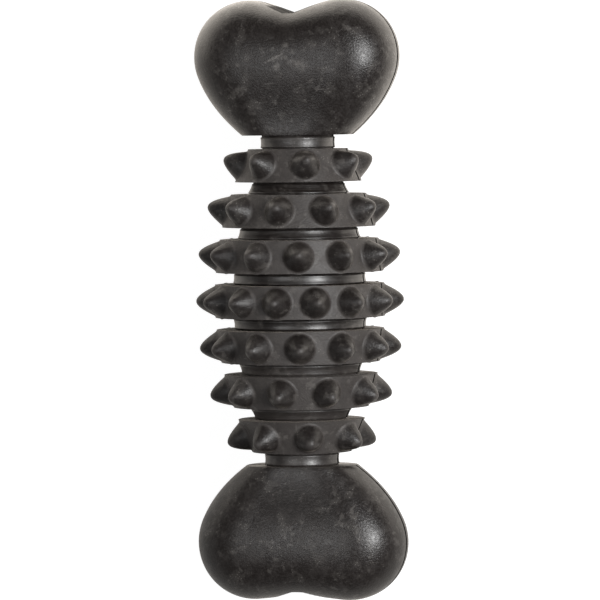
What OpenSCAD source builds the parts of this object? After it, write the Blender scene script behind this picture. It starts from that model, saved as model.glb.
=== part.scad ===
// Rubber chew bone with seven studded rings between two heart-shaped knuckles.
// The bone lies along Y with its head knuckle at +Y, and rests on its stud tips at z = 0.

/* [Rings] */
// Distance between the middles of neighbouring rings
ring_pitch = 13.5; // [13:0.1:15]
// Height of a ring's band, measured along the bone
band_h = 9.8; // [9:0.1:10.6]
// Radius of the middle ring's face
belly_r = 25.5; // [24:0.1:28]
// Radius of the face of the two end rings
end_ring_r = 17.1; // [16.2:0.1:19]
// How far the middle ring's face stands out from the core
band_rise = 5.4; // [4:0.1:7]
// How far the end rings' faces stand out from the core
end_band_rise = 5; // [4:0.1:6]

/* [Studs] */
// Studs on the middle ring, each ring further out has two fewer
belly_studs = 14; // [10:2:14]
// Height of a stud above its ring's face
stud_h = 5.7; // [4:0.1:8]
// Diameter of a stud at its ring's face
stud_d = 9.2; // [7:0.1:9.6]
// Radius of a stud's blunt nose
nose_r = 1.45; // [0.8:0.05:2]

/* [Core] */
// Radius of the necks that carry the knuckles
neck_r = 11.2; // [9:0.1:12]
// Length of the neck between an end ring and a knuckle
neck_l = 4.1; // [2.5:0.1:8]
// How far the core draws in between two rings
neck_hollow = 0.35; // [0:0.05:1]
// Depth of the groove that each ring sits in
seat_depth = 1; // [0.4:0.1:2]

/* [Knuckles] */
// Radius of the head knuckle's lobes
head_lobe_r = 17; // [15:0.1:18.5]
// Distance of the head lobes' middles from the bone's centre line
head_lobe_out = 14.2; // [12.5:0.1:16]
// Distance of the head lobes' middles from the head's shoulder
head_lobe_up = 23.5; // [21:0.1:30]
// Radius of the tail knuckle's lobes
tail_lobe_r = 17.3; // [15:0.1:18.5]
// Distance of the tail lobes' middles from the bone's centre line
tail_lobe_out = 14.7; // [12.5:0.1:16]
// Distance of the tail lobes' middles from the tail's shoulder
tail_lobe_up = 23.2; // [21:0.1:30]
// Thickness of a knuckle at its lobes
knuckle_t = 31.2; // [27:0.1:35]
// Width of a knuckle's flat shoulder
shoulder_w = 33.4; // [30:0.1:36]
// Thickness of a knuckle at its shoulder
shoulder_t = 24.4; // [23.4:0.1:30]
// Depth of the soft notch between the head's lobes
head_notch_deep = 2.7; // [1:0.1:4]
// Depth of the straight channel pressed through the head's notch
head_channel_deep = 4; // [3:0.1:5]
// Slope of the sides of the head's channel, in degrees
head_channel_slope = 22.5; // [19:0.5:30]
// Depth of the soft notch between the tail's lobes
tail_notch_deep = 1.5; // [1:0.1:4]
// Depth of the straight channel pressed through the tail's notch
tail_channel_deep = 2.8; // [2:0.1:4]
// Slope of the sides of the tail's channel, in degrees
tail_channel_slope = 18; // [15:0.5:30]
// Width of a channel's flat floor
channel_floor_w = 3.3; // [1:0.1:5]
// How far the sides between shoulder and lobes stand out from a straight line
flare_bulge = 1.4; // [0:0.1:2]
// How full a knuckle's edge is: a quarter of an ellipse at 2, and squarer above
edge_fullness = 2.4; // [2:0.1:3]

/* [Hidden] */

$fn = 96;
rubber = "#3d3a38";
core_rubber = "#343130";

// Rings are numbered from the head, and the middle one is the bone's middle
ring_count = 7;
middle_ring = (ring_count + 1) / 2;
barrel_reach = (middle_ring - 1) * ring_pitch;

// Radius of the core at the middle of the bone, and where it carries the end rings
core_r = belly_r - band_rise;
core_end_r = end_ring_r - end_band_rise;

// Radius of the ring faces' barrel and of the core's barrel, at a distance from the bone's middle
function face_r(along) = belly_r - (belly_r - end_ring_r) * pow(along / barrel_reach, 2);
function core_at(along) = core_r - (core_r - core_end_r) * pow(along / barrel_reach, 2);
// Lean of the ring faces' normal towards the nearer end, in degrees
function face_lean(along) = atan(2 * (belly_r - end_ring_r) * along / pow(barrel_reach, 2));
function ring_at(ring) = (middle_ring - ring) * ring_pitch;
function seat_r(ring) = core_at(ring_at(ring)) - seat_depth;
function studs_on(ring) = belly_studs - 2 * abs(ring - middle_ring);

// The shoulders of the knuckles, and the ends of the core that seat against them
shoulder_at = barrel_reach + band_h / 2 + neck_l;

// The bone lies on two studs of the middle ring, so it is rolled by half the step between two studs
rest_roll = 360 / belly_studs / 2;
tip_r = belly_r + stud_h;
// How far the blunt nose of a rolled stud reaches below its tip
nose_dip = nose_r * sin(rest_roll) * tan(rest_roll) / 2;
rest_height = tip_r * cos(rest_roll) + nose_dip;

// A stud's root reaches below the ring's face, so that it meets the curved face all round
stud_root = stud_d / 6;
stud_steps = 9;
// A stud's side is a conic: a parabola where this is 0, and nearer to a cone where it is more
stud_conic = (pow(stud_d / 2, 2) - 2 * nose_r * stud_h) / pow(stud_h, 2);

// Steps of the curves on the core's necks and on the knuckles
neck_steps = 6;
flare_steps = 8;
lobe_steps = 16;
lobe_top_steps = 3;
notch_steps = 5;
edge_steps = 10;
// Shares of a knuckle's own sizes
lobe_core_share = 0.05;
shoulder_core_share = 0.2;

function mix(a, b, share) = a + (b - a) * share;
function direction(angle) = [cos(angle), sin(angle)];

module to_bone_axis() rotate([-90, 0, 0]) children();

// A half is drawn on one side of the parting plane, and turned over for the other side
module turned_over() rotate([0, 180, 0]) children();

// Places a half in its resting pose on the floor
module at_rest() translate([0, 0, rest_height]) rotate([0, -rest_roll, 0]) children();

// Profile of one neck of the core between two distances, with its sides drawn in
function neck_points(start, end, start_r, end_r) = [
    for (step = [0 : neck_steps])
        let (share = step / neck_steps)
            [mix(start_r, end_r, share) - neck_hollow * sin(180 * share), mix(start, end, share)]
];

// Profile of the core from the tail to the head, with a groove for each ring
core_profile = concat(
    [[0, -shoulder_at]],
    neck_points(-shoulder_at, -barrel_reach - band_h / 2, neck_r, neck_r),
    [
        for (ring = [ring_count : -1 : 1])
            let (low = ring_at(ring) - band_h / 2, high = ring_at(ring) + band_h / 2)
                each concat(
                    [[seat_r(ring), low], [seat_r(ring), high]],
                    ring == 1
                        ? []
                        : neck_points(high, high + ring_pitch - band_h,
                            core_at(high), core_at(high + ring_pitch - band_h))
                )
    ],
    neck_points(barrel_reach + band_h / 2, shoulder_at, neck_r, neck_r),
    [[0, shoulder_at]]
);

module core_half() {
    color(core_rubber)
        to_bone_axis()
            rotate_extrude(angle = 180)
                polygon(core_profile);
}

// How far a stud's side lies below its nose, at a radius
function stud_drop(radius) =
    pow(radius, 2) / (nose_r + sqrt(pow(nose_r, 2) + stud_conic * pow(radius, 2)));

module stud() {
    rotate_extrude()
        polygon(concat(
            [[0, -stud_root], [stud_d / 2, -stud_root]],
            [
                for (step = [stud_steps : -1 : 0])
                    let (radius = stud_d / 2 * step / stud_steps)
                        [radius, stud_h - stud_drop(radius)]
            ]
        ));
}

// One half of a ring: its band with half of its studs, none of them on the parting line
module ring_half(ring) {
    along = ring_at(ring);
    studs = studs_on(ring);
    color(rubber)
        to_bone_axis()
            union() {
                rotate_extrude(angle = 180)
                    polygon([
                        [seat_r(ring), along - band_h / 2],
                        [face_r(along - band_h / 2), along - band_h / 2],
                        [face_r(along + band_h / 2), along + band_h / 2],
                        [seat_r(ring), along + band_h / 2],
                    ]);
                for (step = [0 : studs / 2 - 1])
                    rotate([0, 0, (step + 0.5) * 360 / studs])
                        translate([face_r(along), 0, along])
                            rotate([0, 90 - face_lean(along), 0])
                                stud();
            }
}

// Direction in which a line from outside touches a circle, on the chosen side
function touch_angle(from, centre, radius, side) =
    atan2(from[1] - centre[1], from[0] - centre[0]) + side * acos(radius / norm(from - centre));

// Point on a curve that leaves the start towards the bend and arrives from there at the end
function on_curve(start, bend, end, share) =
    mix(mix(start, bend, share), mix(bend, end, share), share);

// How far round its lobe a side of the knuckle runs, past where a straight side would touch
function flare_turn(straight_l) = atan(4 * flare_bulge / straight_l);

// Right half of a knuckle, seen from the front with its shoulder on y = 0: pairs of an outline point
// and the point of the domed face that it curves up to
function knuckle_side(lobe_r, lobe_out, lobe_up, notch_deep) =
    let (
        lobe = [lobe_out, lobe_up],
        core_top = lobe_up + lobe_r * lobe_core_share,
        corner = [shoulder_w / 2, 0],
        corner_core = [corner[0] * shoulder_core_share, 0],
        notch = [0, lobe_up + lobe_r - notch_deep],
        straight = touch_angle(corner, lobe, lobe_r, 1),
        first = straight + flare_turn(norm(lobe + lobe_r * direction(straight) - corner)),
        last = touch_angle(notch, lobe, lobe_r, -1),
        flare_end = lobe + lobe_r * direction(first),
        notch_end = lobe + lobe_r * direction(last),
        floor_end = mix(notch, notch_end, channel_floor_w / 2 / notch_end[0]),
        down = direction(first - 90),
        bend = flare_end + down * ((corner - flare_end) * down) / 2,
        first_core = lobe + lobe_r * lobe_core_share * direction(first)
    )
        concat(
            [
                for (step = [0 : flare_steps - 1])
                    let (share = step / flare_steps)
                        [on_curve(corner, bend, flare_end, share), mix(corner_core, first_core, share)]
            ],
            [
                for (step = [0 : lobe_steps])
                    let (toward = direction(mix(first, 90, step / lobe_steps)))
                        [lobe + lobe_r * toward, lobe + lobe_r * lobe_core_share * toward]
            ],
            [
                for (step = [1 : lobe_top_steps])
                    let (outline = lobe + lobe_r * direction(mix(90, last, step / lobe_top_steps)))
                        [outline, [outline[0], core_top]]
            ],
            [
                for (step = [1 : notch_steps])
                    let (outline = mix(notch_end, floor_end, step / notch_steps))
                        [outline, [outline[0], core_top]]
            ],
            [[notch, [notch[0], core_top]]]
        );

function mirrored(point) = [-point[0], point[1]];

// Half of a knuckle's thickness, which swells from its shoulder to its lobes in a soft slope
function half_t_at(along, lobe_up) =
    mix(knuckle_t, shoulder_t, (1 + cos(180 * min(along / lobe_up, 1))) / 2) / 2;

// How far from the shoulder the channel's floor and sides lie, at a distance from the centre line
function channel_at(out, floor_at, slope) =
    floor_at + max(abs(out) - channel_floor_w / 2, 0) * tan(slope);

// Half of a knuckle in front of the parting plane, its edge curving up to a domed face
module knuckle_half(lobe_r, lobe_out, lobe_up, notch_deep, channel_deep, channel_slope) {
    floor_at = lobe_up + lobe_r - channel_deep;
    right = knuckle_side(lobe_r, lobe_out, lobe_up, notch_deep);
    left = [
        for (place = [len(right) - 2 : -1 : 0])
            [mirrored(right[place][0]), mirrored(right[place][1])]
    ];
    rim = concat(right, left);
    count = len(rim);
    points = [
        for (step = [0 : edge_steps])
            let (
                angle = 90 * step / edge_steps,
                out = pow(cos(angle), 2 / edge_fullness),
                up = pow(sin(angle), 2 / edge_fullness)
            )
                for (pair = rim)
                    let (spot = mix(pair[1], pair[0], out))
                        [
                            spot[0],
                            min(spot[1], channel_at(spot[0], floor_at, channel_slope)),
                            half_t_at(pair[1][1], lobe_up) * up
                        ]
    ];
    last = edge_steps * count;
    top = flare_steps + lobe_steps;
    faces = concat(
        [[for (place = [0 : count - 1]) place]],
        [
            for (step = [0 : edge_steps - 1])
                for (place = [0 : count - 2])
                    let (low = step * count + place, high = low + count)
                        each [[low, high, high + 1], [low, high + 1, low + 1]]
        ],
        [
            for (rung = [0 : top - 2])
                let (across = last + count - 1 - rung, here = last + rung)
                    [across, across - 1, here + 1, here]
        ],
        [[for (place = [count - top : -1 : top - 1]) last + place]],
        [concat(
            [for (step = [0 : edge_steps]) step * count + count - 1],
            [for (step = [edge_steps : -1 : 0]) step * count]
        )]
    );
    color(rubber)
        polyhedron(points = points, faces = faces, convexity = 4);
}

module head_knuckle() {
    translate([0, shoulder_at, 0])
        knuckle_half(head_lobe_r, head_lobe_out, head_lobe_up,
            head_notch_deep, head_channel_deep, head_channel_slope);
}

module tail_knuckle() {
    rotate([0, 0, 180])
        translate([0, shoulder_at, 0])
            knuckle_half(tail_lobe_r, tail_lobe_out, tail_lobe_up,
                tail_notch_deep, tail_channel_deep, tail_channel_slope);
}

module head_knuckle_front() at_rest() head_knuckle();
module head_knuckle_back() at_rest() turned_over() head_knuckle();
module tail_knuckle_front() at_rest() tail_knuckle();
module tail_knuckle_back() at_rest() turned_over() tail_knuckle();
module core_front() at_rest() turned_over() core_half();
module core_back() at_rest() core_half();
module ring_front(ring) at_rest() turned_over() ring_half(ring);
module ring_back(ring) at_rest() ring_half(ring);

head_knuckle_front();
head_knuckle_back();
tail_knuckle_front();
tail_knuckle_back();
core_front();
core_back();
for (ring = [1 : ring_count]) {
    ring_front(ring);
    ring_back(ring);
}
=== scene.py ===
"""A studded rubber chew bone: smooth moulded halves, scuffed black rubber with painted light and
painted shade, and a pale studio.
"""
import math
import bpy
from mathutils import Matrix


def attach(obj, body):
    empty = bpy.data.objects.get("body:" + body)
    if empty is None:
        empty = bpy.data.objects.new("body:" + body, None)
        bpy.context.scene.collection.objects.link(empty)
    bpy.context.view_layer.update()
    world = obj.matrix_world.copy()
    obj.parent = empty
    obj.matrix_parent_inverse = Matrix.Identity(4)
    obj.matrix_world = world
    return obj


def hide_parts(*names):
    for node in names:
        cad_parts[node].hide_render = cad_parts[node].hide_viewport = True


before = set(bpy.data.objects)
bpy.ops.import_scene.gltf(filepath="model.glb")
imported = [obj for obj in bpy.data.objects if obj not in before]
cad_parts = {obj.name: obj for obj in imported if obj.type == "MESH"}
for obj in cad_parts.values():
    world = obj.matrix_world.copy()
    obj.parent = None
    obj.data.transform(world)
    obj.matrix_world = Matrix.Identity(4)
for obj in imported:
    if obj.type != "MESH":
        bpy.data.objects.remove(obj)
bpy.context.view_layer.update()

from types import SimpleNamespace
from typing import Callable, NamedTuple

import bmesh
import bpy
from bpy.props import FloatProperty, FloatVectorProperty, IntProperty, PointerProperty
from mathutils import Matrix, Vector

bl_info = {
    "name": "Studded Chew Bone",
    "version": (1, 0, 0),
    "blender": (4, 5, 0),
    "location": "3D View > Sidebar > Chew Bone",
    "description": "Builds a studded rubber chew bone with its worn rubber and a pale studio",
    "category": "Object",
}

BODY = "root"
SIDES = ("front", "back")
RING_COUNT = 7
MIDDLE_RING = 4
MM = 0.001
SAME_PLACE = MM / 100
MERGED = MM / 50


def length(name, description, millimetres):
    """A size of the bone, kept in metres."""
    return FloatProperty(
        name=name, description=description, default=millimetres * MM,
        min=0, precision=5, subtype="DISTANCE", unit="LENGTH")


def count(name, description, default, lowest):
    """A whole number of copies or steps."""
    return IntProperty(name=name, description=description, default=default, min=lowest)


def share(name, description, default):
    """A part of a whole, from 0 to 1."""
    return FloatProperty(
        name=name, description=description, default=default, min=0, max=1, subtype="FACTOR")


def number(name, description, default, lowest, highest):
    """A plain number within its limits."""
    return FloatProperty(
        name=name, description=description, default=default, min=lowest, max=highest)


def tint(name, description, colour):
    """A colour in linear red, green and blue."""
    return FloatVectorProperty(
        name=name, description=description, default=colour, size=3, min=0, max=1, subtype="COLOR")


def degrees(name, description, turned):
    """An angle, kept in radians."""
    return FloatProperty(
        name=name, description=description, default=math.radians(turned),
        subtype="ANGLE", unit="ROTATION")


def power(name, description, watts):
    """The power of a lamp."""
    return FloatProperty(name=name, description=description, default=watts, min=0, unit="POWER")


def level(name, description, default):
    """How bright something looks, where 1 is white."""
    return FloatProperty(name=name, description=description, default=default, min=0)


class RingSizes(bpy.types.PropertyGroup):
    """Sizes of the seven studded rings."""

    pitch: length("Ring pitch", "Distance between the middles of neighbouring rings", 13.5)
    band_height: length("Band height", "Height of a band along the bone", 9.8)
    belly_radius: length("Belly radius", "Radius of the middle ring's face", 25.5)
    end_radius: length("End ring radius", "Radius of the end rings' faces", 17.1)
    band_rise: length("Band rise", "How far the middle ring stands out from the core", 5.4)
    end_band_rise: length("End band rise", "How far the end rings stand out from the core", 5.0)
    seat_depth: length("Seat depth", "Depth of the groove that a ring sits in", 1.0)
    band_edge: length("Band edge", "Rounding of a band's rims and of its parting line", 0.3)
    belly_studs: count("Belly studs", "Studs on the middle ring", 14, 10)
    stud_height: length("Stud height", "Height of a stud above its ring's face", 5.7)
    stud_width: length("Stud width", "Diameter of a stud at its ring's face", 9.2)
    stud_nose: length("Stud nose", "Radius of a stud's blunt nose", 1.45)
    stud_fillet: length("Stud fillet", "Reach of the fillet round a stud's foot", 0.5)


class CoreSizes(bpy.types.PropertyGroup):
    """Sizes of the core between the rings."""

    neck_radius: length("Neck radius", "Radius of the necks that carry the knuckles", 11.2)
    neck_length: length("Neck length", "Length of the neck beside a knuckle", 4.1)
    hollow: length("Hollow", "How far the core draws in between two rings", 0.15)
    groove_depth: length("Groove depth", "Depth of the grooves beside the rings", 0.4)
    head_groove: length("Head groove", "Width of the groove at the head end of a neck", 0.75)
    tail_groove: length("Tail groove", "Width of the groove at the tail end of a neck", 0.4)
    seam_edge: length("Seam edge", "Rounding of the edges along the parting line", 0.25)


class KnuckleSizes(bpy.types.PropertyGroup):
    """Sizes of the two heart-shaped knuckles."""

    head_lobe_radius: length("Head lobe radius", "Radius of the head's lobes", 17.0)
    head_lobe_out: length("Head lobe out", "Distance of the head's lobes from the axis", 14.2)
    head_lobe_up: length("Head lobe up", "Distance of the head's lobes from its shoulder", 23.5)
    tail_lobe_radius: length("Tail lobe radius", "Radius of the tail's lobes", 17.3)
    tail_lobe_out: length("Tail lobe out", "Distance of the tail's lobes from the axis", 14.7)
    tail_lobe_up: length("Tail lobe up", "Distance of the tail's lobes from its shoulder", 23.2)
    thickness: length("Thickness", "Thickness at the lobes", 31.2)
    shoulder_width: length("Shoulder width", "Width of the flat shoulder", 33.4)
    shoulder_thickness: length("Shoulder thickness", "Thickness at the shoulder", 24.4)
    head_notch: length("Head notch", "Depth of the soft notch between the head's lobes", 2.7)
    head_channel: length("Head channel", "Depth of the channel through the head's notch", 4.0)
    head_slope: degrees("Head channel slope", "Slope of the sides of the head's channel", 22.5)
    tail_notch: length("Tail notch", "Depth of the soft notch between the tail's lobes", 1.5)
    tail_channel: length("Tail channel", "Depth of the channel through the tail's notch", 2.8)
    tail_slope: degrees("Tail channel slope", "Slope of the sides of the tail's channel", 18.0)
    channel_floor: length("Channel floor", "Width of a channel's flat floor", 3.3)
    notch_round: length("Notch rounding", "Half width of the rounded bottom of a notch", 2.5)
    flare_bulge: length("Flare bulge", "How far the sides stand out from a straight line", 1.4)
    crown: length("Crown", "How far the face falls from the middle to a lobe's crest", 0.5)
    edge: length("Edge", "Rounding of the shoulder's rim and of the parting line", 0.6)
    fullness: number("Edge fullness", "A quarter of an ellipse at 2, and squarer above", 2.4, 2, 3)
    lobe_core: share("Lobe core", "Share of a lobe's radius under its crest", 0.05)
    shoulder_core: share("Shoulder core", "Share of the shoulder under its crest", 0.2)


class RubberColours(bpy.types.PropertyGroup):
    """Colours of the moulded rubber, of what rubbing and dust leave on it, and of the shade painted
    along its parting line and in its channels.
    """

    rubber: tint("Rubber", "Clean black rubber", (0.0076, 0.0052, 0.0044))
    bloom: tint("Bloom", "Greyish bloom that spreads in clouds", (0.048, 0.042, 0.039))
    dust: tint("Dust", "Specks and scuffs of pale dust", (0.20, 0.185, 0.17))
    roughness: share("Roughness", "Roughness of the clean rubber", 0.36)
    sheen: share("Sheen", "Strength of the dusty glow at grazing angles", 0.12)
    sheen_tint: tint("Sheen tint", "Colour of the dusty glow", (0.80, 0.70, 0.60))
    # Painted shade, with some dirt: this near-black colour is painted along the parting line, where
    # the gap between the halves lies in shadow, and on the channel walls.
    seam: tint("Seam", "Dark gap along the parting line", (0.004, 0.004, 0.004))
    seam_width: length("Seam width", "Width of the dark gap along the parting line", 1.7)


class StageSettings(bpy.types.PropertyGroup):
    """Camera, floor and lamps. Lamps are placed as the camera sees them."""

    distance: length("Camera distance", "Distance of the camera from the bone's middle", 1518.0)
    view_width: length("View width", "Width of the view at the bone's middle", 180.0)
    turn: degrees("Turn", "Turn of the camera to the bone's right side", 15.6)
    tilt: degrees("Tilt", "Lean of the camera towards the head", 2.2)
    roll: degrees("Roll", "Turn of the picture about the line of sight", 0.8)
    lamp_distance: length("Lamp distance", "Distance of the lamps from the bone's middle", 1200.0)
    left_side: degrees("Left lamp side", "Angle of the left lamp to the camera's right", -27.0)
    left_lift: degrees("Left lamp lift", "Angle of the left lamp above the camera", -4.0)
    left_width: length("Left lamp width", "Width of the left lamp", 600.0)
    left_height: length("Left lamp height", "Height of the left lamp", 260.0)
    left_power: power("Left lamp power", "Power of the left lamp", 2.5)
    right_side: degrees("Right lamp side", "Angle of the right lamp to the camera's right", 29.5)
    right_lift: degrees("Right lamp lift", "Angle of the right lamp above the camera", 4.0)
    right_width: length("Right lamp width", "Width of the right lamp", 440.0)
    right_height: length("Right lamp height", "Height of the right lamp", 420.0)
    right_power: power("Right lamp power", "Power of the right lamp", 14.5)
    air: level("Air", "Brightness of the soft light from all sides", 0.20)
    paper: tint("Paper", "Colour of the floor where lamps light it", (0.35, 0.35, 0.35))
    paper_glow: level("Paper glow", "Brightness that the floor has of its own in the picture", 0.91)


def blend(first, second, amount):
    """A value, or a vector, part of the way from the first to the second."""
    return first + (second - first) * amount


def swing(angle):
    """The unit vector in the XY plane at an angle in radians."""
    return Vector((math.cos(angle), math.sin(angle)))


def barrel_radius(sizes, middle, end, along):
    """Radius of a barrel at a distance from the bone's middle, given its radii at the middle ring
    and at the end rings."""
    reach = (MIDDLE_RING - 1) * sizes.pitch
    return middle - (middle - end) * (along / reach) ** 2


def face_radius(sizes, along):
    """Radius of the barrel that the ring faces follow, at a distance from the bone's middle."""
    return barrel_radius(sizes, sizes.belly_radius, sizes.end_radius, along)


def core_radius(sizes, along):
    """Radius of the barrel that the core follows, at a distance from the bone's middle."""
    middle = sizes.belly_radius - sizes.band_rise
    end = sizes.end_radius - sizes.end_band_rise
    return barrel_radius(sizes, middle, end, along)


def ring_place(sizes, ring):
    """Place of a ring's middle along the bone."""
    return (MIDDLE_RING - ring) * sizes.pitch


def seat_radius(sizes, ring):
    """Radius of the groove that a ring sits in."""
    return core_radius(sizes, ring_place(sizes, ring)) - sizes.seat_depth


def shoulder_place(rings, core):
    """Distance of the knuckles' shoulders from the bone's middle."""
    return (MIDDLE_RING - 1) * rings.pitch + rings.band_height / 2 + core.neck_length


def resting_place(rings):
    """The pose in which the bone lies on its studs, between two studs of the middle ring."""
    roll = math.pi / rings.belly_studs
    tip = rings.belly_radius + rings.stud_height
    height = tip * math.cos(roll) + rings.stud_nose * math.sin(roll) * math.tan(roll) / 2
    return Matrix.Translation((0, 0, height)) @ Matrix.Rotation(-roll, 4, "Y")


def finish_piece(mesh, name, node, side, material):
    """Turns a front half to its side, lays it in the resting pose and hands it to the frame."""
    place = resting_place(bpy.context.scene.chew_rings)
    if side == "back":
        place = place @ Matrix.Rotation(math.pi, 4, "Y")
    bmesh.ops.transform(mesh, matrix=place, verts=mesh.verts)
    data = bpy.data.meshes.new(name)
    mesh.to_mesh(data)
    mesh.free()
    data.shade_smooth()
    data.materials.append(material)
    piece = bpy.data.objects.new(name, data)
    bpy.context.scene.collection.objects.link(piece)
    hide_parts(node)
    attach(piece, BODY)


def round_edges(mesh, edges, radius, segments):
    """Rounds some edges of a closed solid."""
    bmesh.ops.bevel(
        mesh, geom=edges, offset=radius, offset_type="OFFSET", segments=segments,
        profile=0.5, affect="EDGES", clamp_overlap=True, material=-1)


def sharp_edges(mesh, least_angle):
    """Edges between faces that meet at more than an angle."""
    return [
        edge for edge in mesh.edges
        if len(edge.link_faces) == 2 and edge.calc_face_angle() > least_angle
    ]


SHARP_ANGLE = math.radians(50)


def on_parting_plane(edge):
    """Whether an edge of a front half lies on the plane between the halves."""
    return all(abs(vert.co.z) < SAME_PLACE for vert in edge.verts)


STUD_SIDE_STEPS = 12
STUD_SIDES = 4 * STUD_SIDE_STEPS
FLANK_STEPS = 16
FILLET_STEPS = 5
LAND_STEPS = 5
CORNER_ANGLE = math.pi / 4
ROUNDING = 1e-6
EDGE_SEGMENTS = 3
SEAM_SEGMENTS = 2


def stud_profile(sizes, height):
    """Distances and heights down a stud, from its nose to the end of the fillet at its foot. Its
    side is a conic as blunt as its nose, a parabola where the conic's share is 0."""
    foot = sizes.stud_width / 2
    nose = sizes.stud_nose
    conic = (foot ** 2 - 2 * nose * height) / height ** 2
    lowest = height - sizes.stud_fillet
    widest = math.sqrt(2 * nose * lowest + conic * lowest ** 2)
    places = []
    for step in range(1, FLANK_STEPS + 1):
        radius = widest * step / FLANK_STEPS
        drop = radius ** 2 / (nose + math.sqrt(nose ** 2 + conic * radius ** 2))
        places.append(Vector((radius, height - drop)))
    start = places[-1]
    bottom = Vector((foot, 0))
    end = Vector((foot + sizes.stud_fillet, 0))
    for step in range(1, FILLET_STEPS + 1):
        places.append(on_curve(start, bottom, end, step / FILLET_STEPS))
    return places


def cell_border(angle, half_width, half_height):
    """Point of a stud's rectangular field that lies at an angle round the stud."""
    turned = (angle + CORNER_ANGLE) / (math.pi / 2) % 4
    side = int(turned + ROUNDING) % 4
    along = 2 * (turned - side) - 1
    if side == 0:
        return Vector((half_width, half_height * along))
    if side == 1:
        return Vector((-half_width * along, half_height))
    if side == 2:
        return Vector((-half_width, -half_height * along))
    return Vector((half_width * along, -half_height))


def open_edges(mesh):
    """Edges with a face on one side only."""
    return [edge for edge in mesh.edges if edge.is_boundary]


def extruded(mesh, edges):
    """Extrudes open edges of a sheet on the spot, and returns the new points and the new edges."""
    grown = bmesh.ops.extrude_edge_only(mesh, edges=edges)["geom"]
    verts = [part for part in grown if isinstance(part, bmesh.types.BMVert)]
    return verts, [part for part in grown if isinstance(part, bmesh.types.BMEdge)]


def angle_round(vert):
    """Angle of a point round the middle of a stud's field."""
    return math.atan2(vert.co.y, vert.co.x)


def stud_field(sizes, height, half_width, half_height):
    """One stud in the middle of a flat rectangular field, as a sheet."""
    mesh = bmesh.new()
    profile = stud_profile(sizes, height)
    bmesh.ops.create_circle(
        mesh, cap_ends=True, cap_tris=True, segments=STUD_SIDES, radius=profile[0].x)
    for vert in mesh.verts:
        vert.co.z = height if vert.co.length < SAME_PLACE else profile[0].y
    for place in profile[1:]:
        for vert in extruded(mesh, open_edges(mesh))[0]:
            vert.co = (swing(angle_round(vert)) * place.x).to_3d() + Vector((0, 0, place.y))
    foot = profile[-1].x
    angles = {
        vert: angle_round(vert) for vert in mesh.verts
        if any(edge.is_boundary for edge in vert.link_edges)
    }
    for step in range(1, LAND_STEPS + 1):
        new_angles = {}
        for vert in extruded(mesh, open_edges(mesh))[0]:
            neighbours = [edge.other_vert(vert) for edge in vert.link_edges]
            angle = next(angles[neighbour] for neighbour in neighbours if neighbour in angles)
            new_angles[vert] = angle
            inner = swing(angle) * foot
            outer = cell_border(angle, half_width, half_height)
            vert.co = blend(inner, outer, step / LAND_STEPS).to_3d()
        angles = new_angles
    return mesh


def ring_cone(sizes, ring):
    """Middle radius and lean of the cone that a ring's face follows."""
    along = ring_place(sizes, ring)
    half_band = sizes.band_height / 2
    low = face_radius(sizes, along - half_band)
    high = face_radius(sizes, along + half_band)
    return (low + high) / 2, math.atan((low - high) / sizes.band_height)


def wrap_field(mesh, sizes, ring, first_angle, half_width):
    """Bends a stud's flat field round the bone, on the cone that its ring's face follows."""
    along = ring_place(sizes, ring)
    middle, lean = ring_cone(sizes, ring)
    out = Vector((math.cos(first_angle), 0, math.sin(first_angle)))
    across = Vector((-math.sin(first_angle), 0, math.cos(first_angle)))
    bone = Vector((0, 1, 0))
    axis = out * math.cos(lean) + bone * math.sin(lean)
    for vert in mesh.verts:
        x, y, height = vert.co
        up = y * math.cos(lean)
        radius = middle - up * math.tan(lean)
        edge_share = (x / half_width) ** 4
        angle = math.asin(x / blend(radius, middle, edge_share))
        around = out * math.cos(angle) + across * math.sin(angle)
        vert.co = around * radius + bone * (along + up) + axis * height


def close_band(mesh, sizes, ring):
    """Gives a half ring's face its two walls, its seat and its flat ends."""
    along = ring_place(sizes, ring)
    half_band = sizes.band_height / 2
    seat = seat_radius(sizes, ring)
    inner_rims = []
    for wall in (along - half_band, along + half_band):
        rim = [
            edge for edge in open_edges(mesh)
            if all(abs(vert.co.y - wall) < SAME_PLACE for vert in edge.verts)
        ]
        verts, edges = extruded(mesh, rim)
        for vert in verts:
            out = Vector((vert.co.x, 0, vert.co.z)).normalized()
            vert.co = out * seat + Vector((0, wall, 0))
        inner_rims += [
            edge for edge in edges if edge.is_boundary
            and all(abs(Vector((v.co.x, v.co.z)).length - seat) < SAME_PLACE for v in edge.verts)
        ]
    bmesh.ops.bridge_loops(mesh, edges=inner_rims)
    bmesh.ops.holes_fill(mesh, edges=open_edges(mesh), sides=0)


def half_ring(sizes, ring):
    """The front half of a ring with its studs, as a closed solid."""
    studs = sizes.belly_studs - 2 * abs(ring - MIDDLE_RING)
    step_angle = 2 * math.pi / studs
    middle, lean = ring_cone(sizes, ring)
    half_width = middle * math.sin(step_angle / 2)
    height = sizes.stud_height + face_radius(sizes, ring_place(sizes, ring)) - middle
    mesh = stud_field(sizes, height, half_width, sizes.band_height / 2 / math.cos(lean))
    wrap_field(mesh, sizes, ring, step_angle / 2, half_width)
    bmesh.ops.spin(
        mesh, geom=mesh.verts[:] + mesh.edges[:] + mesh.faces[:], cent=(0, 0, 0), axis=(0, -1, 0),
        angle=step_angle * (studs // 2 - 1), steps=studs // 2 - 1, use_duplicate=True)
    bmesh.ops.remove_doubles(mesh, verts=mesh.verts, dist=MERGED)
    close_band(mesh, sizes, ring)
    bmesh.ops.recalc_face_normals(mesh, faces=mesh.faces)
    round_edges(mesh, sharp_edges(mesh, SHARP_ANGLE), sizes.band_edge, EDGE_SEGMENTS)
    return mesh


NECK_STEPS = 8
GROOVE_FLAT = 0.6
TURN_STEPS = 48


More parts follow.
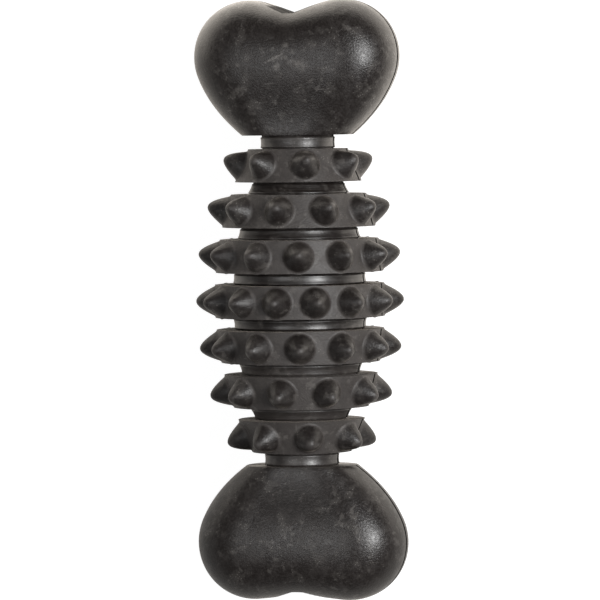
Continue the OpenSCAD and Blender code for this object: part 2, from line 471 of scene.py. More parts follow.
def neck_places(core, start, end, start_radius, end_radius):
    """Places down one neck of the core, drawn in towards its middle, with a groove at each end."""
    neck_start = start + core.tail_groove
    neck_end = end - core.head_groove
    places = [
        Vector((start_radius - core.groove_depth, start, 0)),
        Vector((start_radius - core.groove_depth, blend(start, neck_start, GROOVE_FLAT), 0)),
    ]
    for step in range(NECK_STEPS + 1):
        part = step / NECK_STEPS
        radius = blend(start_radius, end_radius, part) - core.hollow * math.sin(math.pi * part)
        places.append(Vector((radius, blend(neck_start, neck_end, part), 0)))
    places += [
        Vector((end_radius - core.groove_depth, blend(end, neck_end, GROOVE_FLAT), 0)),
        Vector((end_radius - core.groove_depth, end, 0)),
    ]
    return places


def core_places(rings, core):
    """Profile of the core from the tail to the head, with a seat for each ring."""
    half_band = rings.band_height / 2
    shoulder = shoulder_place(rings, core)
    end = shoulder - core.neck_length
    neck = core.neck_radius
    places = [Vector((0, -shoulder, 0))]
    places += neck_places(core, -shoulder, -end, neck, neck)
    for ring in range(RING_COUNT, 0, -1):
        along = ring_place(rings, ring)
        seat = seat_radius(rings, ring)
        places += [Vector((seat, along - half_band, 0)), Vector((seat, along + half_band, 0))]
        if ring > 1:
            low = along + half_band
            high = along + rings.pitch - half_band
            places += neck_places(
                core, low, high, core_radius(rings, low), core_radius(rings, high))
    places += neck_places(core, end, shoulder, neck, neck)
    places.append(Vector((0, shoulder, 0)))
    return places


def half_core(rings, core):
    """The front half of the core, turned from its profile, as a closed solid."""
    mesh = bmesh.new()
    verts = [mesh.verts.new(place) for place in core_places(rings, core)]
    edges = [mesh.edges.new(pair) for pair in zip(verts, verts[1:])]
    bmesh.ops.spin(
        mesh, geom=verts + edges, cent=(0, 0, 0), axis=(0, -1, 0), angle=math.pi, steps=TURN_STEPS)
    bmesh.ops.remove_doubles(mesh, verts=mesh.verts, dist=MERGED)
    bmesh.ops.holes_fill(mesh, edges=open_edges(mesh), sides=0)
    bmesh.ops.recalc_face_normals(mesh, faces=mesh.faces)
    seams = [edge for edge in sharp_edges(mesh, SHARP_ANGLE) if on_parting_plane(edge)]
    round_edges(mesh, seams, core.seam_edge, SEAM_SEGMENTS)
    return mesh


FLARE_STEPS = 14
LOBE_STEPS = 40
TOP_STEPS = 8
NOTCH_STEPS = 8
NOTCH_ROUND_STEPS = 4
EDGE_STEPS = 32


def touch_angle(point, centre, radius, side):
    """Angle on a circle at which a line from a point outside touches it, on the chosen side."""
    away = point - centre
    return math.atan2(away.y, away.x) + side * math.acos(radius / away.length)


def on_curve(start, bend, end, part):
    """Point on a curve that leaves the start towards the bend and arrives from there at the end."""
    return blend(blend(start, bend, part), blend(bend, end, part), part)


def of_end(sizes, end):
    """Copies the sizes of one end's knuckle under plain names."""
    names = ("lobe_radius", "lobe_out", "lobe_up", "notch", "channel", "slope")
    return SimpleNamespace(**{name: getattr(sizes, f"{end}_{name}") for name in names})


def knuckle_rim(sizes, heart):
    """Right half of a knuckle's outline, from its shoulder to its notch: pairs of an outline point
    and the point of the domed face that it curves up to."""
    lobe_radius = heart.lobe_radius
    lobe = Vector((heart.lobe_out, heart.lobe_up))
    inner_radius = lobe_radius * sizes.lobe_core
    corner = Vector((sizes.shoulder_width / 2, 0))
    notch = Vector((0, heart.lobe_up + lobe_radius - heart.notch))
    straight = touch_angle(corner, lobe, lobe_radius, 1)
    straight_length = (lobe + lobe_radius * swing(straight) - corner).length
    first = straight + math.atan(4 * sizes.flare_bulge / straight_length)
    last = touch_angle(notch, lobe, lobe_radius, -1)
    flare_end = lobe + lobe_radius * swing(first)
    notch_end = lobe + lobe_radius * swing(last)
    down = swing(first - math.pi / 2)
    bend = flare_end + down * (corner - flare_end).dot(down) / 2
    pairs = []
    for step in range(FLARE_STEPS):
        part = step / FLARE_STEPS
        core = blend(corner * sizes.shoulder_core, lobe + inner_radius * swing(first), part)
        pairs.append((on_curve(corner, bend, flare_end, part), core))
    for step in range(LOBE_STEPS + 1):
        toward = swing(blend(first, math.pi / 2, step / LOBE_STEPS))
        pairs.append((lobe + toward * lobe_radius, lobe + toward * inner_radius))
    tops = [
        lobe + lobe_radius * swing(blend(math.pi / 2, last, step / TOP_STEPS))
        for step in range(1, TOP_STEPS + 1)
    ]
    round_start = blend(notch, notch_end, sizes.notch_round / notch_end.x)
    tops += [
        blend(notch_end, round_start, step / NOTCH_STEPS) for step in range(1, NOTCH_STEPS + 1)
    ]
    round_end = round_start * Vector((-1, 1))
    tops += [
        on_curve(round_start, notch, round_end, step / NOTCH_ROUND_STEPS / 2)
        for step in range(1, NOTCH_ROUND_STEPS + 1)
    ]
    return pairs + [(top, Vector((top.x, heart.lobe_up + inner_radius))) for top in tops]


def channel_place(sizes, heart, out):
    """Distance from the shoulder to the notch's channel, at a distance from its middle."""
    floor = heart.lobe_up + heart.lobe_radius - heart.channel
    return floor + max(abs(out) - sizes.channel_floor / 2, 0) * math.tan(heart.slope)


def half_thickness(sizes, heart, spot, core):
    """Half of a knuckle's thickness under a point of its face, which swells from the shoulder to
    the lobes in a soft slope and is crowned across."""
    swell = (1 - math.cos(math.pi * min(core.y / heart.lobe_up, 1))) / 2
    thickness = blend(sizes.shoulder_thickness, sizes.thickness, swell)
    return thickness / 2 - sizes.crown * (spot.x / heart.lobe_out) ** 2


def half_knuckle(sizes, heart):
    """The front half of a knuckle with its shoulder on the XZ plane, as a closed solid."""
    right = knuckle_rim(sizes, heart)
    flip = Vector((-1, 1))
    rim = right + [(outline * flip, core * flip) for outline, core in reversed(right[:-1])]
    mesh = bmesh.new()
    edge = bmesh.ops.create_grid(mesh, x_segments=len(rim) - 1, y_segments=EDGE_STEPS, size=1)
    for vert in edge["verts"]:
        outline, core = rim[round((vert.co.x + 1) / 2 * (len(rim) - 1))]
        turned = math.pi / 2 * (vert.co.y + 1) / 2
        spot = blend(core, outline, math.cos(turned) ** (2 / sizes.fullness))
        rise = math.sin(turned) ** (2 / sizes.fullness)
        spot.y = min(spot.y, channel_place(sizes, heart, spot.x))
        vert.co = spot.to_3d()
        vert.co.z = half_thickness(sizes, heart, spot, core) * rise
    top = FLARE_STEPS + LOBE_STEPS
    across = len(rim) - 1 - 2 * top
    face = bmesh.ops.create_grid(mesh, x_segments=across, y_segments=top, size=1)
    for vert in face["verts"]:
        from_right = (vert.co.x + 1) / 2
        up = (vert.co.y + 1) / 2
        core = right[round(up * top)][1]
        reach = rim[top + round(from_right * across)][1].x / heart.lobe_out
        vert.co = (core.x * reach, core.y, 0)
        vert.co.z = half_thickness(sizes, heart, vert.co, core)
    bmesh.ops.remove_doubles(mesh, verts=mesh.verts, dist=MERGED)
    shoulder_ends = [
        vert for vert in mesh.verts if abs(vert.co.z) < SAME_PLACE and abs(vert.co.y) < SAME_PLACE
    ]
    bmesh.ops.contextual_create(mesh, geom=shoulder_ends)
    for axis in (1, 2):
        flat = [
            edge for edge in mesh.edges if len(edge.link_faces) < 2
            and all(abs(vert.co[axis]) < SAME_PLACE for vert in edge.verts)
        ]
        bmesh.ops.edgeloop_fill(mesh, edges=flat)
    bmesh.ops.recalc_face_normals(mesh, faces=mesh.faces)
    round_edges(mesh, sharp_edges(mesh, SHARP_ANGLE), sizes.edge, EDGE_SEGMENTS)
    return mesh


class Wire:
    """A node tree with one of its sockets, which Python's own operators calculate with."""

    def __init__(self, tree, socket=None):
        self.tree = tree
        self.socket = socket

    def node(self, kind, settings, inputs, output=0):
        """Adds a node with its settings and its sockets' values or wires, and returns an output."""
        node = self.tree.nodes.new(kind)
        for name, setting in settings.items():
            setattr(node, name, setting)
        for name, value in inputs.items():
            if isinstance(value, Wire):
                self.tree.links.new(value.socket, node.inputs[name])
            else:
                node.inputs[name].default_value = value
        return Wire(self.tree, node.outputs[output] if node.outputs else None)

    def maths(self, operation, *values):
        """Adds a Math node for numbers or wires."""
        return self.node("ShaderNodeMath", {"operation": operation}, dict(enumerate(values)))

    def __add__(self, other):
        return self.maths("ADD", self, other)

    def __radd__(self, other):
        return self.maths("ADD", other, self)

    def __sub__(self, other):
        return self.maths("SUBTRACT", self, other)

    def __rsub__(self, other):
        return self.maths("SUBTRACT", other, self)

    def __mul__(self, other):
        return self.maths("MULTIPLY", self, other)

    def __rmul__(self, other):
        return self.maths("MULTIPLY", other, self)

    def __truediv__(self, other):
        return self.maths("DIVIDE", self, other)

    def __pow__(self, other):
        return self.maths("POWER", self, other)

    def __abs__(self):
        return self.maths("ABSOLUTE", self)

    def axis(self, name):
        """Takes X, Y or Z out of a vector."""
        return self.node("ShaderNodeSeparateXYZ", {}, {"Vector": self}, name)

    def mixed(self, amount, first, second):
        """Adds a colour part of the way from the first to the second."""
        return self.node(
            "ShaderNodeMix", {"data_type": "RGBA"}, {"Factor": amount, "A": first, "B": second},
            "Result")


def empty_tree(owner):
    """The cleared node tree of a material or world."""
    owner.use_nodes = True
    owner.node_tree.nodes.clear()
    return Wire(owner.node_tree)


def opaque(colour):
    """A colour as a socket takes it."""
    return (*colour, 1)


def ramp(value, low, high, low_result=0, high_result=1):
    """A smooth change from one result to another between two values."""
    return value.node(
        "ShaderNodeMapRange", {"interpolation_type": "SMOOTHSTEP"},
        {
            "Value": value, "From Min": low, "From Max": high,
            "To Min": low_result, "To Max": high_result,
        }, "Result")


class Pattern(NamedTuple):
    """Cloudy noise with features of a size in metres, and the values where it starts and ends."""

    size: float
    detail: int
    rough: float
    low: float
    high: float


SPECK_EDGE, SPECK_CORE, SPECK_FADE = 0.34, 0.12, 0.02
SPOT_EDGE, SPOT_CORE = 1.0, 0.3
STREAK_STRETCH = (0.06, 1, 0.06)
SCUFF_STRETCH = (1, 14, 14)


class Surface:
    """Patterns over a piece of the bone, in the bone's own straightened coordinates."""

    def __init__(self, tree):
        pose = resting_place(bpy.context.scene.chew_rings).inverted()
        self.tree = tree
        self.place = tree.node(
            "ShaderNodeMapping", {},
            {
                "Vector": tree.node("ShaderNodeTexCoord", {}, {}, "Object"),
                "Location": pose.translation, "Rotation": pose.to_euler(),
            }, "Vector")

    def axis(self, name):
        """Distance along X, Y or Z from the bone's middle."""
        return self.place.axis(name)

    def stretched(self, turn, scale):
        """The bone's coordinates, turned in the parting plane and stretched along each axis."""
        return self.tree.node(
            "ShaderNodeMapping", {},
            {"Vector": self.place, "Rotation": (0, 0, turn), "Scale": scale}, "Vector")

    def pattern(self, kind, place=None):
        """A pattern from 0 to 1, over the bone or over coordinates of its own."""
        noise = self.tree.node(
            "ShaderNodeTexNoise", {},
            {
                "Vector": place or self.place, "Scale": 1 / kind.size, "Detail": kind.detail,
                "Roughness": kind.rough,
            }, "Fac")
        return ramp(noise, kind.low, kind.high)

    def specks(self, size, share_kept):
        """Round specks in a share of the cells of a size in metres."""
        cells = {"Vector": self.place, "Scale": 1 / size}
        distance = self.tree.node("ShaderNodeTexVoronoi", {}, cells, "Distance")
        chance = self.tree.node("ShaderNodeTexVoronoi", {}, cells, "Color")
        kept = ramp(chance, 1 - share_kept, 1 + SPECK_FADE - share_kept)
        return ramp(distance, SPECK_EDGE, SPECK_CORE) * kept

    def spot(self, centre, turn, reach):
        """A soft round or long mark, given its middle, its turn and how far it reaches each way."""
        place = self.tree.node(
            "ShaderNodeMapping", {"vector_type": "TEXTURE"},
            {
                "Vector": self.place, "Location": Vector(centre) * MM, "Rotation": (0, 0, turn),
                "Scale": Vector(reach) * MM,
            }, "Vector")
        away = self.tree.node(
            "ShaderNodeVectorMath", {"operation": "LENGTH"}, {"Vector": place}, "Value")
        return ramp(away, SPOT_EDGE, SPOT_CORE)

    def scuffs(self, turn, size):
        """Short thin scratches that run one way, in some places only."""
        thin = Pattern(size, detail=2, rough=0.5, low=0.68, high=0.74)
        places = Pattern(size, detail=1, rough=0.5, low=0.56, high=0.66)
        return self.pattern(thin, self.stretched(turn, SCUFF_STRETCH)) * self.pattern(places)

    def height(self):
        """Distance from the parting plane."""
        return abs(self.axis("Z"))

    def from_axis(self):
        """Distance from the bone's centre line."""
        return (self.axis("X") ** 2 + self.height() ** 2) ** 0.5


KNUCKLE_RUB = 0.2
RUBBED_FROM, RUBBED_FULLY = 13.8 * MM, 15.8 * MM
RAGGED = Pattern(size=0.9 * MM, detail=2, rough=0.6, low=0.38, high=0.62)
SCRATCH_STRENGTH, SCRATCH_EVEN_SHARE = 1.2, 0.5
PATCH_STRENGTH, PATCH_EVEN_SHARE = 0.9, 0.3
SCRATCH = ((-2.8, 72.4, 15.2), 0.44, (4.2, 0.55, 3.0))
PATCHES = (
    ((-1.8, 70.0, 15.2), 0.0, (1.5, 1.5, 3.0)),
    ((0.9, 76.2, 15.4), 0.3, (1.4, 1.1, 3.0)),
    ((0.8, 72.6, 15.4), 0.3, (1.0, 1.0, 3.0)),
    ((4.6, 70.6, 15.2), -0.25, (4.6, 1.9, 3.0)),
    ((8.5, 65.7, 14.8), 0.8, (1.2, 0.8, 3.0)),
    ((-13.8, 62.8, 13.5), 0.3, (3.4, 2.2, 3.0)),
)


def knuckle_wear(skin):
    """Where a knuckle's faces stand highest and rub on the floor."""
    return KNUCKLE_RUB * ramp(skin.height(), RUBBED_FROM, RUBBED_FULLY)


def knuckle_marks(skin):
    """A scratch and some scuffed patches on the head's front face. Each has a place and a reach in
    millimetres, with its turn in radians between them."""
    ragged = skin.pattern(RAGGED)
    scratch = skin.spot(*SCRATCH)
    patches = skin.spot(*PATCHES[0])
    for patch in PATCHES[1:]:
        patches = patches + skin.spot(*patch)
    return (
        SCRATCH_STRENGTH * scratch * (SCRATCH_EVEN_SHARE + (1 - SCRATCH_EVEN_SHARE) * ragged)
        + PATCH_STRENGTH * patches * (PATCH_EVEN_SHARE + (1 - PATCH_EVEN_SHARE) * ragged))


NECK_STREAKS = Pattern(size=0.5 * MM, detail=2, rough=0.6, low=0.45, high=0.72)
END_NECK_WEAR, PAINTED_TAIL_LIGHT, STREAK_STRENGTH = 0.7, 1.2, 0.28
END_NECK_FROM, END_NECK_FULLY = 44.5 * MM, 45.5 * MM
# Painted light: the necks towards the tail are painted paler, as if more light fell on them.
PALE_NECKS_FROM, PALE_NECKS_FULLY = -14 * MM, -26 * MM


def core_wear_and_painted_light(skin):
    """Where the two end necks are scuffed dull, and painted light that makes the necks towards the
    tail paler.
    """
    along = skin.axis("Y")
    ends = ramp(abs(along), END_NECK_FROM, END_NECK_FULLY)
    painted_tail_light = ramp(along, PALE_NECKS_FROM, PALE_NECKS_FULLY)
    return END_NECK_WEAR * ends + PAINTED_TAIL_LIGHT * painted_tail_light * (1 - ends)


def core_marks(skin):
    """Faint streaks round the core's necks."""
    return STREAK_STRENGTH * skin.pattern(NECK_STREAKS, skin.stretched(0, STREAK_STRETCH))


SMUDGES = Pattern(size=1 * MM, detail=3, rough=0.65, low=0.50, high=0.70)
# Paler stud noses, partly rubbed and partly a painted highlight; paler band faces, painted light.
NOSE_WEAR_AND_HIGHLIGHT, BAND_PAINTED_LIGHT, SMUDGE_STRENGTH = 0.9, 1.35, 0.08
BAND_FACE_OVER, BAND_FACE_FULLY = 0.9 * MM, 0.3 * MM
NOSE_FROM_SHARE, NOSE_FULLY_SHARE = 0.88, 0.99


def stud_wear_and_painted_light(skin):
    """Where the studs' noses are paler, partly rubbed and partly a painted highlight, and painted
    light that makes the faces of the bands between them paler.
    """
    sizes = bpy.context.scene.chew_rings
    above = skin.from_axis() - face_radius(sizes, abs(skin.axis("Y")))
    noses = ramp(
        above, sizes.stud_height * NOSE_FROM_SHARE, sizes.stud_height * NOSE_FULLY_SHARE)
    return NOSE_WEAR_AND_HIGHLIGHT * noses + BAND_PAINTED_LIGHT * ramp(above, BAND_FACE_OVER, BAND_FACE_FULLY)


def stud_marks(skin):
    """Stray pale smudges over the rings."""
    return SMUDGE_STRENGTH * skin.pattern(SMUDGES)


# Painted shade on the channel walls: its strength at each end, and where it fades out.
HEAD_SHADE, TAIL_SHADE = 0.84, 0.40
SHADE_OUT_FROM, SHADE_OUT_FULLY = 8.6 * MM, 6.0 * MM
SHADE_UNDER_FROM, SHADE_UNDER_FULLY = -0.45 * MM, -0.05 * MM


def no_shade(skin):
    """No painted shade but along the parting line."""
    return 0


def channel_shade(skin):
    """Painted shade on the walls of the channels through the notches, where they lie in shadow."""
    sizes = bpy.context.scene.chew_knuckles
    shoulder = shoulder_place(bpy.context.scene.chew_rings, bpy.context.scene.chew_core)
    out = abs(skin.axis("X"))
    along = skin.axis("Y")
    shade = 0
    for end, way, strength in (("head", 1, HEAD_SHADE), ("tail", -1, TAIL_SHADE)):
        heart = of_end(sizes, end)
        floor = shoulder + heart.lobe_up + heart.lobe_radius - heart.channel
        beyond = skin.tree.maths("MAXIMUM", out - sizes.channel_floor / 2, 0)
        depth = along * way - (beyond * math.tan(heart.slope) + floor)
        near = strength * ramp(out, SHADE_OUT_FROM, SHADE_OUT_FULLY)
        shade = shade + ramp(depth, SHADE_UNDER_FROM, SHADE_UNDER_FULLY) * near
    return shade


class Finish(NamedTuple):
    """How the rubber of one group of pieces differs, and what wears it and paints light on it,
    marks it and paints shade on it.
    """

    dustiness: float
    rougher: float
    gloss: float
    grain: float
    wear_and_painted_light: Callable
    marks: Callable
    shade: Callable


KNUCKLE_FINISH = Finish(
    dustiness=0.95, rougher=-0.05, gloss=0.47, grain=1.0,
    wear_and_painted_light=knuckle_wear, marks=knuckle_marks, shade=channel_shade)
CORE_FINISH = Finish(
    dustiness=0.6, rougher=-0.06, gloss=0.64, grain=0.4,
    wear_and_painted_light=core_wear_and_painted_light, marks=core_marks, shade=no_shade)
RING_FINISH = Finish(
    dustiness=0.95, rougher=0.02, gloss=0.5, grain=1.4,
    wear_and_painted_light=stud_wear_and_painted_light, marks=stud_marks, shade=no_shade)

CLOUDS = Pattern(size=14 * MM, detail=3, rough=0.6, low=0.42, high=0.64)
MOTTLE = Pattern(size=3 * MM, detail=3, rough=0.6, low=0.46, high=0.66)
GRAINS = Pattern(size=0.55 * MM, detail=2, rough=0.6, low=0.36, high=0.70)
BLOTCHES = Pattern(size=2.4 * MM, detail=2, rough=0.5, low=0.56, high=0.68)
BLOTCHY_AREAS = Pattern(size=11 * MM, detail=2, rough=0.5, low=0.45, high=0.58)
DUST_BEDS = Pattern(size=5 * MM, detail=3, rough=0.6, low=0.54, high=0.64)
SPECK_SIZE, SPECK_SHARE, STRAY_SPECKS = 0.62 * MM, 0.60, 0.06
SCUFF_TURNS_AND_SIZES = ((0.5, 12 * MM), (2.1, 9 * MM))
CLOUD_BLOOM, MOTTLE_BLOOM, GRAIN_BLOOM, WORN_AND_LIT_BLOOM = 0.12, 0.20, 0.20, 0.55
SPECK_DUST, SCUFF_DUST, BLOTCH_DUST, BED_DUST, MARK_DUST = 0.60, 0.30, 0.20, 0.10, 0.34
MOTTLE_ROUGH, GRAIN_ROUGH, WORN_ROUGH = 0.06, 0.08, 0.08
GRAIN_RELIEF, MOTTLE_RELIEF, CLOUD_RELIEF, SCUFF_RELIEF = 0.8, 0.25, 0.5, 0.4
RELIEF_HEIGHT = 0.03 * MM
RUBBER_IOR = 1.5
SHEEN_ROUGHNESS = 0.3


def rubber_material(name, finish):
    """Moulded black rubber with clouds of bloom, dust, scuffs and grain, paler where it is rubbed
    and where light is painted on, with painted shade along its parting line and in the channels.
    """
    look = bpy.context.scene.chew_rubber
    material = bpy.data.materials.new(name)
    tree = empty_tree(material)
    skin = Surface(tree)
    clouds = skin.pattern(CLOUDS)
    mottle = skin.pattern(MOTTLE)
    grains = skin.pattern(GRAINS)
    blotches = skin.pattern(BLOTCHES) * skin.pattern(BLOTCHY_AREAS)
    beds = skin.pattern(DUST_BEDS)
    specks = skin.specks(SPECK_SIZE, SPECK_SHARE) * (STRAY_SPECKS + (1 - STRAY_SPECKS) * beds)
    first_scuffs, second_scuffs = SCUFF_TURNS_AND_SIZES
    scuffs = skin.scuffs(*first_scuffs) + skin.scuffs(*second_scuffs)
    # Rubbed places, and on the rings and the core also painted light that makes some places paler.
    worn_and_lit = finish.wear_and_painted_light(skin)
    bloomed = (
        CLOUD_BLOOM * clouds + MOTTLE_BLOOM * mottle + GRAIN_BLOOM * grains + WORN_AND_LIT_BLOOM * worn_and_lit
    ) * finish.dustiness
    base = tree.mixed(bloomed, opaque(look.rubber), opaque(look.bloom))
    settled = (
        SPECK_DUST * specks + SCUFF_DUST * scuffs + BLOTCH_DUST * blotches + BED_DUST * beds)
    coloured = tree.mixed(
        settled * finish.dustiness + MARK_DUST * finish.marks(skin), base, opaque(look.dust))
    roughness = (
        look.roughness + finish.rougher
        + MOTTLE_ROUGH * mottle + GRAIN_ROUGH * grains + WORN_ROUGH * worn_and_lit)
    relief = (
        (GRAIN_RELIEF * grains + MOTTLE_RELIEF * mottle + CLOUD_RELIEF * clouds) * finish.grain
        - SCUFF_RELIEF * scuffs)
    bump = tree.node(
        "ShaderNodeBump", {}, {"Strength": 1.0, "Distance": RELIEF_HEIGHT, "Height": relief},
        "Normal")
    skin_shader = tree.node(
        "ShaderNodeBsdfPrincipled", {},
        {
            "Base Color": coloured, "Roughness": roughness, "Normal": bump, "IOR": RUBBER_IOR,
            "Specular IOR Level": finish.gloss, "Sheen Weight": look.sheen,
            "Sheen Roughness": SHEEN_ROUGHNESS, "Sheen Tint": opaque(look.sheen_tint),
        }, "BSDF")
    # Painted shade: a near-black diffuse shader covers a band along the parting line and the
    # channel walls in place of the shadow there, with some dirt along the parting line.
    seam_shade_shader = tree.node("ShaderNodeBsdfDiffuse", {}, {"Color": opaque(look.seam)}, "BSDF")
    parting_line_shade = ramp(skin.height(), look.seam_width / 2, look.seam_width / 4)
    seam = tree.maths("MAXIMUM", parting_line_shade, finish.shade(skin))
    shader = tree.node("ShaderNodeMixShader", {}, {0: seam, 1: skin_shader, 2: seam_shade_shader})
    tree.node("ShaderNodeOutputMaterial", {}, {"Surface": shader})
    return material


class CHEW_OT_rings(bpy.types.Operator):
    """Build the seven studded rings in halves"""

    bl_idname = "chew.rings"
    bl_label = "Build Studded Rings"

    def execute(self, context):
        sizes = context.scene.chew_rings
        material = rubber_material("ring_rubber", RING_FINISH)
        for ring in range(1, RING_COUNT + 1):
            for side in SIDES:
                node = f"ring_{ring}_{side}"
                finish_piece(
                    half_ring(sizes, ring), f"studded_ring_{ring}_{side}", node, side,
                    material)
        return {"FINISHED"}


class CHEW_OT_core(bpy.types.Operator):
    """Build the core that shows as necks between the rings"""

    bl_idname = "chew.core"
    bl_label = "Build Core"

    def execute(self, context):
        material = rubber_material("core_rubber", CORE_FINISH)
        for side in SIDES:
            mesh = half_core(context.scene.chew_rings, context.scene.chew_core)
            finish_piece(mesh, f"necked_core_{side}", f"core_{side}", side, material)
        return {"FINISHED"}


class CHEW_OT_knuckles(bpy.types.Operator):
    """Build the heart-shaped knuckles in halves"""

    bl_idname = "chew.knuckles"
    bl_label = "Build Knuckles"

    def execute(self, context):
        sizes = context.scene.chew_knuckles
        shoulder = shoulder_place(context.scene.chew_rings, context.scene.chew_core)
        material = rubber_material("knuckle_rubber", KNUCKLE_FINISH)
        for end, turn in {"head": 0, "tail": math.pi}.items():
            for side in SIDES:
                mesh = half_knuckle(sizes, of_end(sizes, end))
                place = Matrix.Rotation(turn, 4, "Z") @ Matrix.Translation((0, shoulder, 0))
                bmesh.ops.transform(mesh, matrix=place, verts=mesh.verts)
                finish_piece(
                    mesh, f"{end}_lobes_{side}", f"{end}_knuckle_{side}", side,
                    material)
        return {"FINISHED"}


def camera_pose(context):
    """Place and turn of the bone's middle as the camera looks at it."""
    stage = context.scene.chew_stage
    rings = context.scene.chew_rings
    bone_roll = math.pi / rings.belly_studs
    return (
        Matrix.Translation(resting_place(rings).translation)
        @ Matrix.Rotation(stage.turn - bone_roll, 4, "Y")
        @ Matrix.Rotation(-stage.tilt, 4, "X")
        @ Matrix.Rotation(-stage.roll, 4, "Z"))


def soft_lamp(context, name, side, lift, width, height, watts):
    """A flat lamp that faces the bone from an angle beside the camera."""
    lamp = bpy.data.lights.new(name, "AREA")
    lamp.shape = "RECTANGLE"
    lamp.size = width
    lamp.size_y = height
    lamp.energy = watts
    holder = bpy.data.objects.new(name, lamp)
    context.scene.collection.objects.link(holder)
    holder.matrix_world = (
        camera_pose(context)
        @ Matrix.Rotation(side, 4, "Y")
        @ Matrix.Rotation(-lift, 4, "X")
        @ Matrix.Translation((0, 0, context.scene.chew_stage.lamp_distance)))


def seen_and_mirrored(tree):
    """Two wires: 1 for rays from the camera, and 1 for rays that a surface mirrors or lets by."""
    seen = tree.node("ShaderNodeLightPath", {}, {}, "Is Camera Ray")
    glossy = tree.node("ShaderNodeLightPath", {}, {}, "Is Glossy Ray")
    through = tree.node("ShaderNodeLightPath", {}, {}, "Is Transmission Ray")
    return seen, tree.maths("MAXIMUM", glossy, through)


MIRRORED_ACROSS = (-120 * MM, 100 * MM, 0.44, 1.30)
MIRRORED_ALONG = (-140 * MM, 140 * MM, 0.30, 1.90)
MIRRORED_PAST_HEAD = (70 * MM, 120 * MM, 0, 1)
MIRRORED_HEAD_LEFT = (40 * MM, -40 * MM, 0, 2.2)
MIRRORED_TONE = (1.0, 0.92, 0.82)
WHITE = (1, 1, 1)


def floor_material(paper, glow):
    """White paper that keeps the bone's soft shadow and throws little light back at it. Mirrored
    in the rubber it is warmer, and brighter on the right and beyond the head: each change runs from
    one place to another, and from one level to another."""
    material = bpy.data.materials.new("floor_paper")
    tree = empty_tree(material)
    lit = tree.node("ShaderNodeBsdfDiffuse", {}, {"Color": opaque(paper)}, "BSDF")
    place = tree.node("ShaderNodeTexCoord", {}, {}, "Object")
    across = place.axis("X")
    along = place.axis("Y")
    mirror_glow = (
        ramp(across, *MIRRORED_ACROSS) * ramp(along, *MIRRORED_ALONG)
        + ramp(along, *MIRRORED_PAST_HEAD) * ramp(across, *MIRRORED_HEAD_LEFT))
    seen, mirrored = seen_and_mirrored(tree)
    tone = tree.mixed(seen, opaque(MIRRORED_TONE), opaque(WHITE))
    shine = tree.node(
        "ShaderNodeEmission", {},
        {"Color": tone, "Strength": (seen + mirrored * mirror_glow) * glow}, 0)
    both = tree.node("ShaderNodeAddShader", {}, {0: lit, 1: shine})
    tree.node("ShaderNodeOutputMaterial", {}, {"Surface": both})
    return material


HORIZON_TOP, HORIZON_FOOT = 0.06, 0.02


def studio_air(level_of_light):
    """A world that is white to the camera, and mirrored as white low down, and otherwise lights the
    bone softly from all sides."""
    world = bpy.data.worlds.new("studio_air")
    tree = empty_tree(world)
    direction = tree.node("ShaderNodeTexCoord", {}, {}, "Generated")
    up = direction.axis("Z")
    seen, mirrored = seen_and_mirrored(tree)
    white = tree.maths("MAXIMUM", seen, mirrored * ramp(up, HORIZON_TOP, HORIZON_FOOT))
    strength = white * (1 - level_of_light) + level_of_light
    air = tree.node("ShaderNodeBackground", {}, {"Strength": strength}, 0)
    tree.node("ShaderNodeOutputWorld", {}, {"Surface": air})
    return world


SENSOR_WIDTH = 36
FARTHEST_VIEW = 10
FLOOR_REACH = 2
FLOOR_PANELS = 4


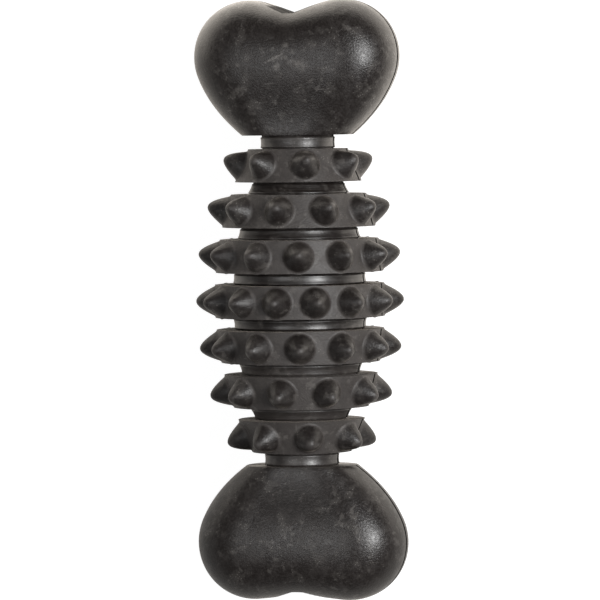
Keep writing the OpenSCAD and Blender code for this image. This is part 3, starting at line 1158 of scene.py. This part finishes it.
class CHEW_OT_stage(bpy.types.Operator):
    """Set up the camera, the pale floor and the soft lamps"""

    bl_idname = "chew.stage"
    bl_label = "Set Up Stage"

    def execute(self, context):
        scene = context.scene
        stage = scene.chew_stage
        camera = bpy.data.cameras.new("studio_camera")
        camera.sensor_width = SENSOR_WIDTH
        camera.lens = camera.sensor_width * stage.distance / stage.view_width
        camera.clip_end = FARTHEST_VIEW
        holder = bpy.data.objects.new("studio_camera", camera)
        scene.collection.objects.link(holder)
        holder.matrix_world = camera_pose(context) @ Matrix.Translation((0, 0, stage.distance))
        scene.camera = holder

        mesh = bmesh.new()
        bmesh.ops.create_grid(
            mesh, x_segments=FLOOR_PANELS, y_segments=FLOOR_PANELS, size=FLOOR_REACH)
        data = bpy.data.meshes.new("paper_floor")
        mesh.to_mesh(data)
        mesh.free()
        data.materials.append(floor_material(stage.paper, stage.paper_glow))
        floor = bpy.data.objects.new("paper_floor", data)
        scene.collection.objects.link(floor)

        soft_lamp(
            context, "left_lamp", stage.left_side, stage.left_lift, stage.left_width,
            stage.left_height, stage.left_power)
        soft_lamp(
            context, "right_lamp", stage.right_side, stage.right_lift, stage.right_width,
            stage.right_height, stage.right_power)
        scene.world = studio_air(stage.air)
        scene.view_settings.view_transform = "Standard"
        return {"FINISHED"}


class CHEW_PT_panel(bpy.types.Panel):
    """Lists the steps that build the chew bone"""

    bl_label = "Chew Bone"
    bl_idname = "CHEW_PT_panel"
    bl_space_type = "VIEW_3D"
    bl_region_type = "UI"
    bl_category = "Chew Bone"

    def draw(self, context):
        layout = self.layout
        for operator in OPERATORS:
            layout.operator(operator.bl_idname)
        for group in GROUPS:
            box = layout.box()
            settings = getattr(context.scene, group)
            for name in settings.bl_rna.properties.keys():
                if name not in ("rna_type", "name"):
                    box.prop(settings, name)


GROUPS = {
    "chew_rings": RingSizes,
    "chew_core": CoreSizes,
    "chew_knuckles": KnuckleSizes,
    "chew_rubber": RubberColours,
    "chew_stage": StageSettings,
}
OPERATORS = (CHEW_OT_stage, CHEW_OT_knuckles, CHEW_OT_core, CHEW_OT_rings)
CLASSES = (*GROUPS.values(), *OPERATORS, CHEW_PT_panel)


def register():
    """Registers the classes and hangs the settings on the scene."""
    for one in CLASSES:
        bpy.utils.register_class(one)
    for name, group in GROUPS.items():
        setattr(bpy.types.Scene, name, PointerProperty(type=group))


def unregister():
    """Takes the settings and the classes away again."""
    for name in GROUPS:
        delattr(bpy.types.Scene, name)
    for one in reversed(CLASSES):
        bpy.utils.unregister_class(one)


def main():
    """Builds everything in order."""
    register()
    bpy.ops.chew.stage()
    bpy.ops.chew.knuckles()
    bpy.ops.chew.core()
    bpy.ops.chew.rings()


if __name__ == "__main__":
    main()
